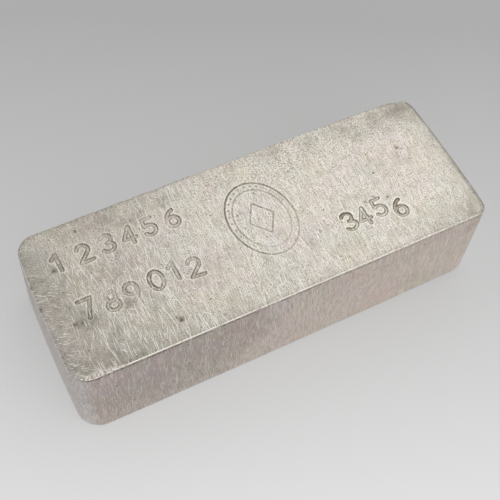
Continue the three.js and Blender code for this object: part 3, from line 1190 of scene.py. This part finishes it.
# %% [markdown]
# The bare metal's tone is a weighted sum of those patterns, each of which averages a half. The
# sand is the exception: it counts only on the sandy metal, so it is first made to average nothing
# and multiplied by that trace. The walls froze against the mould and took a faint mauve tone;
# its paler mix toward the right, the foot and the upright corners is painted light.

# %% Tone of the bare metal
PEWTER_DULL, PEWTER_BRIGHT = "#b7af9e", "#f3ece3"
PEWTER_WALL, PEWTER_WALL_PALE = "#ac9d9c", "#f3e4d8"
MEAN_TONE = 0.63
SAND_WEIGHT, SAND_RELIEF = 10.0, 5.0
TONE_WEIGHTS = ((hairs, 3.3), (trace["speckle"], 5.2), (trace["cloud"], 0.8))
PALE_WEIGHTS = ((hairs, 2.4), (trace["mottle"], 0.5), (trace["cloud"], 0.8))


def weighted(start, weights):
    """start plus each pattern's distance from its mean times its weight."""
    total = start - MEAN * sum(weight for _, weight in weights)
    for pattern, weight in weights:
        total = node(tree, MATH, {0: pattern, 1: weight, 2: total}, operation="MULTIPLY_ADD")
    return total


sand = node(tree, MATH, {0: trace["sand"], 1: MEAN}, operation="SUBTRACT")
sand = node(tree, MATH, {0: sand, 1: trace["sandy"]}, operation="MULTIPLY")
tone = weighted(MEAN_TONE, TONE_WEIGHTS)
tone = node(tree, MATH, {0: sand, 1: SAND_WEIGHT, 2: tone}, operation="MULTIPLY_ADD")
metal = node(tree, MIX, {0: tone, 6: colour(PEWTER_DULL), 7: colour(PEWTER_BRIGHT)}, **COLOUR)
pale_and_lit = weighted(0.0, PALE_WEIGHTS)
pale_and_lit = node(tree, MATH, {0: pale_and_lit, 1: trace["pale_and_lit"]}, operation="ADD")
wall = {0: pale_and_lit, 6: colour(PEWTER_WALL), 7: colour(PEWTER_WALL_PALE)}
wall = node(tree, MIX, wall, **COLOUR)
metal = node(tree, MIX, {0: trace["wall"], 6: metal, 7: wall}, **COLOUR)
print("the bare metal has", len(tree.nodes), "nodes so far")

# %% [markdown]
# The alloy's thin skin of oxide also turns the hue a little from place to place. A noise with a
# colour of its own does that: mixed in as linear light, it adds its distance from mid grey. The
# ends and the upright corners were touched most and lost their tint, so there the saturation is
# taken down.

# %% A little hue
HUE_MM, HUE_SHARE = 10.0, 0.07
NO_HUE = "#c0c0c0"

hues = {"Vector": place, "Scale": 1.0 / (HUE_MM * MM), "Detail": 6.0, "Roughness": 0.7}
hues = node(tree, NOISE, hues, "Color")
hues = {0: HUE_SHARE, 6: metal, 7: hues}
metal = node(tree, MIX, hues, blend_type="LINEAR_LIGHT", **COLOUR)
greyed = {0: trace["greyed"], 6: metal, 7: colour(NO_HUE)}
metal = node(tree, MIX, greyed, blend_type="SATURATION", **COLOUR)
print("clouds of hue are", HUE_MM, "mm wide")

# %% [markdown]
# How much of each later layer shows depends on a trace from the mesh and a pattern that breaks
# it up. Every pair is a range of the pattern, squeezed to a share, times the trace.

# %% What breaks up each layer
OXIDE_CLOUDS, CLOUD_LOW, CLOUD_HIGH = 0.42, 0.45, 0.75
PORE_STRENGTH, PORE_LOW, PORE_HIGH = 0.6, 0.68, 0.75
MOTTLE_LOW, MOTTLE_HIGH = 0.3, 0.7

clouds = {0: trace["cloud"], 1: CLOUD_LOW, 2: CLOUD_HIGH, 3: 0.0, 4: OXIDE_CLOUDS}
clouds = node(tree, RANGE, clouds)
stained_and_shaded = node(tree, MATH, {0: trace["tarnish_and_shade"], 1: clouds}, operation="ADD")
shares = {}
for name, amount, pattern, low, high, least in (
    # layer, trace, pattern, where the pattern starts to show, where it shows fully, least share
    ("stain_and_shade", stained_and_shaded, trace["mottle"], MOTTLE_LOW, MOTTLE_HIGH, 0.6),
    ("crest", trace["worn_and_highlight"], trace["speckle"], 0.3, 0.5, 0.4),
    ("grime_and_shade", trace["dirt_and_shade"], trace["speckle"], 0.7, 0.4, 0.4),
):
    part = node(tree, RANGE, {0: pattern, 1: low, 2: high, 3: least, 4: 1.0})
    shares[name] = node(tree, MATH, {0: amount, 1: part}, operation="MULTIPLY")
shares["scratch"] = node(tree, MATH, {0: cuts, 1: trace["scored"]}, operation="MULTIPLY")
pores = {0: trace["pores"], 1: PORE_LOW, 2: PORE_HIGH, 3: 0.0, 4: PORE_STRENGTH}
pores = node(tree, RANGE, pores)
shares["grime_and_shade"] = node(tree, MATH, {0: shares["grime_and_shade"], 1: pores}, operation="MAXIMUM")
print("layers:", ", ".join(shares))

# %% [markdown]
# The layers then go on in the order in which they happened to the metal: oxide, which also carries
# painted shade, the dull bottoms of the marks, fresh scratches, crests that hands keep bright,
# which also carry a painted highlight, and last the dirt, which also carries painted shade.

# %% Layers on the metal
LAYERS = (
    # Oxide, with painted shade on the right roll and painted shadow inside the front arris.
    (shares["stain_and_shade"], "#989286"),
    (trace["sunk"], "#a89b87"),
    (shares["scratch"], "#fffcf6"),
    # Crests: rubbed metal and a painted highlight.
    (shares["crest"], "#fffaee"),
    # Dark brown for dirt and for the painted shade and shadow in the marks and under the arrises.
    (shares["grime_and_shade"], "#4c3b27"),
)
for share, tint in LAYERS:
    metal = node(tree, MIX, {0: share, 6: metal, 7: colour(tint)}, **COLOUR)
print(len(LAYERS), "layers on the metal")

# %% [markdown]
# A rubbed casting is neither a mirror nor matt: the reflections are wide and soft, a little
# tighter where the oxide is thin, and much tighter on the crests that hands have polished. The
# grain, the sand and the scratches are also a relief of about a hundredth of a millimetre.

# %% Cast pewter, rubbed by hand
RELIEF_WEIGHTS = ((hairs, 2.6), (trace["speckle"], 3.0), (cuts, 1.0))
BUMP_MM = 0.012
SMOOTHEST, ROUGHEST, POLISHED, SANDY_ROUGH = 0.36, 0.48, 0.22, 0.44

relief = weighted(0.0, RELIEF_WEIGHTS)
relief = node(tree, MATH, {0: sand, 1: SAND_RELIEF, 2: relief}, operation="MULTIPLY_ADD")
bumps = node(tree, "ShaderNodeBump", {"Distance": BUMP_MM * MM, "Height": relief})
roughness = {0: trace["mottle"], 1: MOTTLE_LOW, 2: MOTTLE_HIGH, 3: SMOOTHEST, 4: ROUGHEST}
roughness = node(tree, RANGE, roughness)
roughness = node(tree, MIX, {0: shares["crest"], 2: roughness, 3: POLISHED})
roughness = node(tree, MIX, {0: trace["sandy"], 2: roughness, 3: SANDY_ROUGH})
finish = {"Base Color": metal, "Metallic": 1.0, "Roughness": roughness, "Normal": bumps}
surface = node(tree, "ShaderNodeBsdfPrincipled", finish)
node(tree, "ShaderNodeOutputMaterial", {"Surface": surface})
ingot_mesh.materials.append(pewter)
print(pewter.name, "has", len(tree.nodes), "nodes")

# %% [markdown]
# ## Hand over
# The skin takes the place of the plain solid, rides on its body and wears the finish made above.

# %% Hand over
ingot = add_object("ingot_skin", ingot_mesh)
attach(ingot, "root")
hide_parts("ingot")
